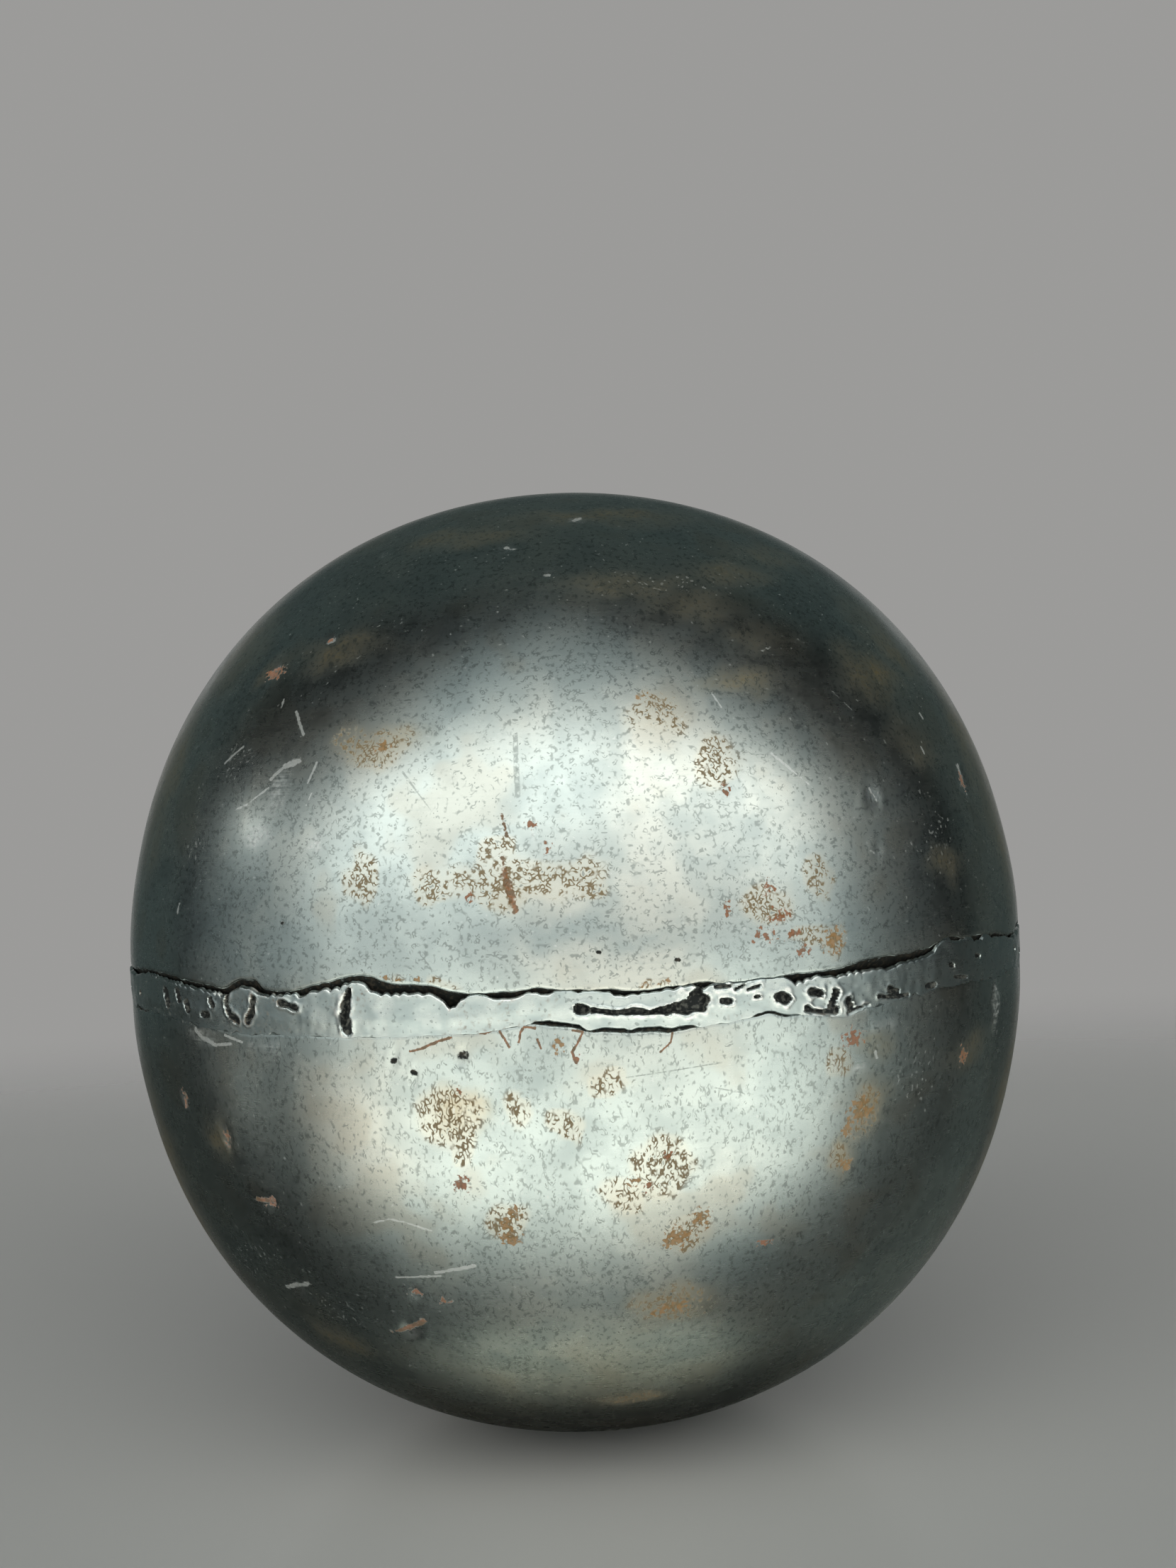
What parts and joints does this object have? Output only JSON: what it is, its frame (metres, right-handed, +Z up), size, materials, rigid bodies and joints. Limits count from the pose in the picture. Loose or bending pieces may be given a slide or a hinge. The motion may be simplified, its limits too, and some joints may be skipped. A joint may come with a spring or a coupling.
{
  "type": "welded hollow steel ball",
  "caption": "Hollow ball of two pressed steel half shells, butt welded round the middle, with a ground, pitted weld seam and a worn satin surface with rust marks.",
  "frame": {"origin": "middle of the ball, on the plane of the weld seam", "axes": "+Z up along the pressing axis of both halves, -Y towards the pictured front, +X to the right seen from there"},
  "size_m": [0.1506, 0.1506, 0.158],
  "materials": {
    "shell_steel": "worn satin gunmetal with fine pits, scratches and thin rust film",
    "weld_steel": "ground weld metal, satin, with dark pores and a crevice along the upper toe"
  },
  "bodies": {
    "root": {"upper_half_shell": "shell_steel", "lower_half_shell": "shell_steel", "weld_bead": "weld_steel"}
  },
  "joints": []
}
